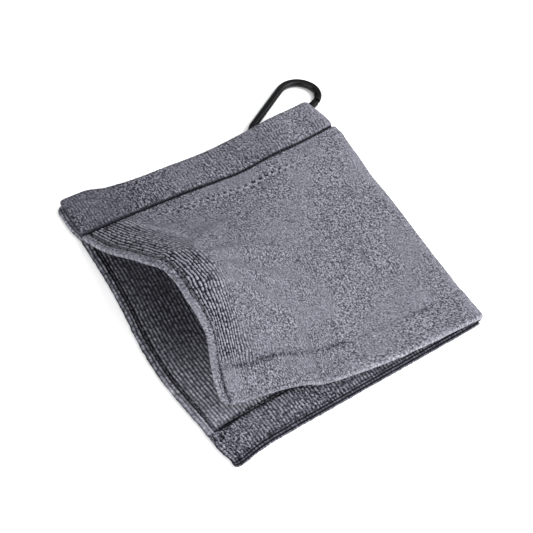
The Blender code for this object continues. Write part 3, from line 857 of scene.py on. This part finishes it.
def tubes(name, paths, radius, material):
    """Closed round tubes along several short paths, thinner at their ends."""
    mesh = bmesh.new()
    angles = 2 * math.pi * np.arange(TUBE_SIDES) / TUBE_SIDES
    circle = np.stack((np.cos(angles), np.sin(angles)), -1)
    for path in paths:
        path = np.asarray(path, float)
        k = np.arange(len(path))
        size = radius * edge(np.minimum(k, k[::-1]) + 0.35, 1.3)
        rings = skin(mesh, rings_along(path, circle, size))
        for ring, end, turn in ((rings[0], path[0], 1), (rings[-1], path[-1], -1)):
            centre = mesh.verts.new(Vector(end) * MM)
            for a in range(TUBE_SIDES):
                pair = (ring[a], ring[(a + 1) % TUBE_SIDES])
                mesh.faces.new((centre, *pair[::turn]))
    made = from_bmesh(name, mesh)
    made.data.shade_smooth()
    return finish(made, material)


def sew(name, line, stitch, material, thread_node):
    """Single stitches that dive into the cloth at both ends, in place of the CAD's plain thread."""
    pitch, gap, radius = stitch
    length = distances(line)
    paths = []
    for k in range(int(length[-1] // pitch)):
        at = np.linspace(k * pitch + gap / 2, (k + 1) * pitch - gap / 2, STITCH_POINTS)
        path = resample(line, length, at)
        path[[0, -1], 2] -= STITCH_DIVE
        paths.append(path)
    made = tubes(name, paths, radius, material)
    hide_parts(thread_node)
    return made


def on_front(layout, x, y, above):
    """Points above the front layer's middle at flat cloth coordinates."""
    across, along, middle = layout
    i = np.clip(np.searchsorted(across, x), 1, len(across) - 1)
    j = np.clip(np.searchsorted(-along, -y), 1, len(along) - 1)
    normal = normals(middle)
    return middle[j, i] + normal[j, i] * above


def build_stitches(layout):
    """Every line of stitches. Returns the front layer's own, which lie on it."""
    x = np.linspace(-HALF + 1.2, BAND_END - 0.2, 900)
    top = sew("seam_stitches", settle(x, SEAM_Y, FRONT_Z - 0.9),
              SEAM_STITCH, SEAM_THREAD, "top_seam_thread")
    under = sew("seam_stitches_under", settle(x, SEAM_Y, 0.45),
                SEAM_STITCH, SEAM_THREAD, "top_seam_under_thread")
    y = np.linspace(PANEL_TOP - 3, -HALF + BOTTOM_HEM + 1, 700)
    line = points(back_left(y) + SIDE_HEM - 0.6, y, CLOTH + 0.35)
    side = sew("back_side_stitches", line, HEM_STITCH, HEM_THREAD, "back_side_thread")
    x = np.linspace(-HALF + SIDE_HEM, FOLD_X - 6, 800)
    line = points(x, -HALF + BOTTOM_HEM - 0.6, CLOTH - 0.05)
    hem = sew("back_hem_stitches", line, HEM_STITCH, HEM_THREAD, "back_hem_thread")
    for made in (top, under, side, hem):
        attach(made, "pouch")

    x = np.linspace(-HALF + 3.5, FOLD_X - 1, 900)
    line = on_front(layout, x, -HALF + BOTTOM_HEM - 1.0, HEM / 2 - 0.80)
    hem = sew("front_hem_stitches", line, HEM_STITCH, HEM_THREAD, "front_hem_thread")
    y = np.linspace(PANEL_TOP - 3, -HALF + BOTTOM_HEM - 0.5, 700)
    line = on_front(layout, -HALF + SIDE_HEM - 0.6, y, HEM / 2 - 0.35)
    side = sew("front_side_stitches", line, HEM_STITCH, HEM_THREAD, "front_side_thread")
    return [hem, side]


# ---- snap clip

ROD = 1.8  # half the rod's thickness
CLIP_Z = 2.4  # the rod's middle above the floor
CLIP_TURN = math.radians(27.1)
CLIP_CORNER = (27.5, 68.6)  # where the clip's own U and V start
SMALL_END, SMALL_R = (9.0, 9.0), 7.2  # centre and radius of the small end's middle line
BIG_END, BIG_R = (35.7, 13.9), 12.1
NOSE, NOSE_R = (41.6, 13.9), 6.2
NOSE_ANGLE, NOTCH_ANGLE = math.radians(89), math.radians(63)
NOTCH_SIZE = (2.0, 1.3, 4 * ROD)
PIVOT, GATE_TIP = (12.5, 16.3), (40.4, 20.2)
TANG, TANG_LENGTH, TANG_BACK = 1.3, 3.4, 2.9  # the flat end that carries the gate
FORK_SLOT = 1.7  # width of the slot in the gate, round the tang
RIVET_R, RIVET_PLAY = 0.8, 0.06
SPRING_BORE = 0.9  # radius of the bore in the gate


def clip_point(u, v):
    """A point of the clip's own plane: U runs along its straight spine, V across towards the gate."""
    cos, sin = math.cos(CLIP_TURN), math.sin(CLIP_TURN)
    return np.array((CLIP_CORNER[0] + u * cos + v * sin, CLIP_CORNER[1] + u * sin - v * cos, CLIP_Z))


PIVOT_POINT, TIP_POINT = clip_point(*PIVOT), clip_point(*GATE_TIP)
GATE_WAY = (TIP_POINT - PIVOT_POINT) / np.linalg.norm(TIP_POINT - PIVOT_POINT)
GATE_TURN = math.atan2(GATE_WAY[1], GATE_WAY[0])


def arc(centre, radius, start, end, count):
    return [(centre[0] + radius * math.cos(a), centre[1] + radius * math.sin(a))
            for a in np.linspace(start, end, count)]


def rod_profile(half, flat, fillet):
    """Outline of a rod with flat faces: an octagon of that half width, its corners filleted."""
    corners = [(half, flat), (flat, half), (-flat, half), (-half, flat),
               (-half, -flat), (-flat, -half), (flat, -half), (half, -flat)]
    outline = []
    for k in range(8):
        here = np.array(corners[k])
        before, after = np.array(corners[k - 1]), np.array(corners[(k + 1) % 8])
        start = here + (before - here) / np.linalg.norm(before - here) * fillet
        end = here + (after - here) / np.linalg.norm(after - here) * fillet
        for t in np.linspace(0, 1, 3):
            outline.append((1 - t) ** 2 * start + 2 * t * (1 - t) * here + t * t * end)
    return np.array(outline)


def sweep(name, path, end_round=0.5):
    """A closed bar with the rod's profile along a level path."""
    outline = rod_profile(ROD, 0.95, 0.22)
    path = np.asarray(path, float)
    length = distances(path)
    ends = end_round * (1 - np.cos(np.linspace(0, math.pi / 2, 5)))
    at = np.concatenate((ends[:-1], length[(length > end_round) & (length < length[-1] - end_round)],
                         length[-1] - ends[::-1][1:]))
    reach = np.minimum(at, at[-1] - at)
    shrink = end_round * (1 - edge(reach, end_round)) / np.abs(outline).max()
    rings = rings_along(resample(path, length, at), outline, 1 - shrink)
    mesh = bmesh.new()
    made = skin(mesh, rings)
    mesh.faces.new(made[0])
    mesh.faces.new(made[-1][::-1])
    return from_bmesh(name, mesh)


def block(size, place, turn):
    bpy.ops.mesh.primitive_cube_add(size=1, location=Vector(place) * MM, rotation=(0, 0, turn))
    made = bpy.context.object
    made.scale = Vector(size) * MM
    return made


def pin(radius, place, turn=None, length=12.0):
    """An upright cylinder, or one that lies along the direction turn."""
    bpy.ops.mesh.primitive_cylinder_add(
        vertices=32, radius=radius * MM, depth=length * MM, location=Vector(place) * MM)
    made = bpy.context.object
    if turn is not None:
        made.rotation_euler = (0, math.pi / 2, turn)
    return made


def carve(made, cutters):
    """Cuts the cutters out of an object, smooths its broad faces and removes the cutters."""
    for cutter in cutters:
        cut = made.modifiers.new("cut", "BOOLEAN")
        cut.operation = "DIFFERENCE"
        cut.solver = "EXACT"
        cut.object = cutter
    bpy.context.view_layer.update()
    shown = made.evaluated_get(bpy.context.evaluated_depsgraph_get())
    mesh = bpy.data.meshes.new_from_object(shown)
    made.modifiers.clear()
    made.data = mesh
    for cutter in cutters:
        bpy.data.objects.remove(cutter)
    mesh.shade_smooth()
    mesh.set_sharp_from_angle(angle=math.radians(28))
    return made


def build_hook():
    """The clip's bent rod, flattened where the gate is riveted to it and notched at its nose."""
    outline = arc(NOSE, NOSE_R, NOSE_ANGLE, 0, 24) + arc(BIG_END, BIG_R, 0, -math.pi / 2, 40)[1:]
    outline += [(u, SMALL_END[1] - SMALL_R) for u in np.linspace(BIG_END[0], SMALL_END[0], 16)[1:-1]]
    outline += arc(SMALL_END, SMALL_R, -math.pi / 2, -1.5 * math.pi, 48)
    outline.append((PIVOT[0] + TANG_LENGTH / 3, PIVOT[1] + 0.1))
    made = sweep("clip_hook", [clip_point(u, v) for u, v in outline])
    tang_middle = PIVOT_POINT + GATE_WAY * (TANG_LENGTH - TANG_BACK) / 2
    cutters = []
    for side in (-1, 1):
        above = np.array((0, 0, side * (ROD + TANG / 2)))
        cutters.append(block((TANG_LENGTH + TANG_BACK, 3 * ROD, 2 * ROD), tang_middle + above, GATE_TURN))
    cutters.append(pin(RIVET_R + RIVET_PLAY, PIVOT_POINT))
    notch = clip_point(NOSE[0] + (NOSE_R - ROD) * math.cos(NOTCH_ANGLE),
                       NOSE[1] + (NOSE_R - ROD) * math.sin(NOTCH_ANGLE))
    cutters.append(block(NOTCH_SIZE, notch, CLIP_TURN - NOTCH_ANGLE))
    finish(carve(made, cutters), BLACK)
    stand_in(made, "clip_body", "clip")


def build_gate():
    """The straight gate, with a slot round the tang and a bore for the spring."""
    start = PIVOT_POINT - GATE_WAY * (RIVET_R + 0.9)
    slot_start, slot_end = PIVOT_POINT - GATE_WAY * 3, PIVOT_POINT + GATE_WAY * (TANG_LENGTH - 0.4)
    path = [start + (TIP_POINT - start) * t for t in np.linspace(0, 1, 30)]
    made = sweep("gate_bar", path, end_round=0.35)
    slot = (np.linalg.norm(slot_end - slot_start), 3 * ROD, FORK_SLOT)
    cutters = [block(slot, (slot_start + slot_end) / 2, GATE_TURN),
               pin(RIVET_R + RIVET_PLAY, PIVOT_POINT),
               pin(SPRING_BORE, slot_end + GATE_WAY * 3.5, GATE_TURN, length=9.0)]
    finish(carve(made, cutters), BLACK)
    stand_in(made, "clip_gate", "gate")


def build_rivet():
    made = pin(RIVET_R, PIVOT_POINT, length=2 * ROD)
    made.name = "rivet"
    rounded = made.modifiers.new("rim", "BEVEL")
    rounded.width = 0.18 * MM
    rounded.segments = 3
    rounded.limit_method = "ANGLE"
    finish(carve(made, []), STEEL)
    stand_in(made, "gate_rivet", "clip")


# ---- hang loop

RIBBON, RIBBON_WIDTH = 0.5, 5.6
RIBBON_RIB, RIBBON_WEAVE = 0.62, 0.8  # distance between its ribs along it and across it
BASE_THICKNESS = 1.1  # two layers of ribbon, sewn down
LOOP_X = clip_point(*SMALL_END)[0]
LOOP_HINGE = (49.0, 4.2)  # Y and Z of the line that the loop bends about
LOOP_BASE_LENGTH = 5.0


def woven(name, profile, thickness):
    """A strip of ribbon along a profile of (Y, Z) points, with fine ribs across and firm edges."""
    profile = np.asarray(profile, float)
    length = distances(profile)
    at = np.linspace(0, length[-1], max(8, int(length[-1] / 0.12)))
    y, z = resample(profile, length, at).T
    x = steps(-RIBBON_WIDTH / 2, RIBBON_WIDTH / 2, 0.2)
    middle = points(LOOP_X + x, y[:, None], z[:, None])
    rib = 0.5 + 0.5 * np.cos(2 * math.pi * at / RIBBON_RIB)[:, None]
    turn = math.pi * np.round(at / RIBBON_RIB)[:, None]
    weave = 0.5 + 0.5 * np.cos(2 * math.pi * x / RIBBON_WEAVE + turn)
    ends = edge(np.minimum(at, at[-1] - at), 0.2)[:, None]
    sides = edge(np.minimum(x + RIBBON_WIDTH / 2, RIBBON_WIDTH / 2 - x), 0.3)[None]
    half = (thickness / 2 - 0.10 * (1 - rib * weave)) * ends * sides
    flat = points(x[None], at[:, None], half)
    shade = np.broadcast_to(rib, half.shape)
    made = cloth(name, middle, half, half, flat, shade, shade)
    return finish(made, WEBBING)


def build_loop():
    """The ribbon loop round the clip's small end, its sewn base and the zigzag tack through that."""
    hinge_y, hinge_z = LOOP_HINGE
    apart = RIBBON / 2 + 0.06
    rod_y = clip_point(*SMALL_END)[1] - SMALL_R
    above, below = hinge_z + apart, RIBBON / 2 + 0.05
    radius = (above - below) / 2
    centre_y = rod_y + ROD + 0.2
    start = hinge_y + 0.35
    bend = [(centre_y + radius * 0.8 * math.sin(a), above - radius + radius * math.cos(a))
            for a in np.linspace(0, math.pi, 17)]
    ends_low = [(rod_y - ROD + 0.2, below), (hinge_y + 1.4, hinge_z - 2.4), (start, hinge_z - apart)]
    loop = woven("ribbon_loop", [(start, above)] + bend + ends_low, RIBBON)
    stand_in(loop, "hang_loop", "loop")
    base_from, base_to = hinge_y - LOOP_BASE_LENGTH, hinge_y - 0.8
    base = woven("ribbon_base", [(base_from, hinge_z), (base_to, hinge_z)], BASE_THICKNESS)
    stand_in(base, "loop_base", "pouch")
    paths = []
    for k, x in enumerate(np.linspace(-0.40, 0.40, 9) * RIBBON_WIDTH):
        ends = (base_to - 2.3, base_to - 1.1)[::-1 if k % 2 == 0 else 1]
        paths.append([(LOOP_X + x + 0.2 * t, mix(ends[0], ends[1], t), hinge_z - RIBBON - 0.22)
                      for t in np.linspace(0, 1, 5)])
    tack = tubes("bar_tack", paths, 0.20, SEAM_THREAD)
    stand_in(tack, "loop_bar_tack", "pouch")


# ---- camera, floor and light

PIXELS = 533  # the picture's width
FOCAL = 1300  # focal length in those pixels
AZIMUTH, ELEVATION, ROLL = (math.radians(a) for a in (-50.39, 57.34, 19.11))
DISTANCE = 593.6
CENTRE = (-2.88, 1.42)  # the camera's shift to its right and up


def build_camera():
    cos, sin = math.cos, math.sin
    back = Vector((sin(AZIMUTH) * cos(ELEVATION), -cos(AZIMUTH) * cos(ELEVATION), sin(ELEVATION)))
    level = Vector((cos(AZIMUTH), sin(AZIMUTH), 0))
    above = back.cross(level)
    right = level * cos(ROLL) + above * sin(ROLL)
    up = above * cos(ROLL) - level * sin(ROLL)
    place = (right * CENTRE[0] + up * CENTRE[1] + back * DISTANCE) * MM
    data = bpy.data.cameras.new("camera")
    data.sensor_width = 36
    data.lens = data.sensor_width * FOCAL / PIXELS
    data.clip_start = 0.01
    camera = placed("camera", data)
    turn = Matrix((right, up, back)).transposed().to_4x4()
    camera.matrix_world = Matrix.Translation(place) @ turn
    bpy.context.scene.camera = camera


def area_light(name, place, size, power):
    """A soft square light that faces the towel, with its place and size in metres."""
    data = bpy.data.lights.new(name, "AREA")
    data.size = size
    data.energy = power
    made = placed(name, data)
    made.location = place
    made.rotation_euler = (-Vector(place)).to_track_quat("-Z", "Y").to_euler()


def build_studio():
    bpy.ops.mesh.primitive_plane_add(size=6, location=(0, 0, -0.2 * MM))
    floor = bpy.context.object
    floor.name = "floor"
    floor.data.materials.append(nodes_of("pale floor", grey(0.93), 0.8)[0])
    world = bpy.data.worlds.new("studio")
    world.use_nodes = True
    put(world.node_tree.nodes["Background"], Color=(1, 1, 1, 1), Strength=0.46)
    bpy.context.scene.world = world
    area_light("key", (0.42, -0.26, 0.52), 0.70, 10.5)
    area_light("top", (0.15, 0.00, 0.92), 0.9, 3.5)
    area_light("fill", (-0.60, -0.34, 0.42), 0.7, 6.5)
    view = bpy.context.scene.view_settings
    view.view_transform = "Standard"
    view.look = "None"


build_camera()
build_studio()
front, front_layout = build_front()
band = build_band()
back = build_back()
back_band = build_back_band()
flap_stitches = build_stitches(front_layout)

for piece in [front] + flap_stitches:
    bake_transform(piece)

build_hook()
build_gate()
build_rivet()
build_loop()
for name in ("spring_plunger", "gate_spring"):
    finish(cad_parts[name], STEEL)
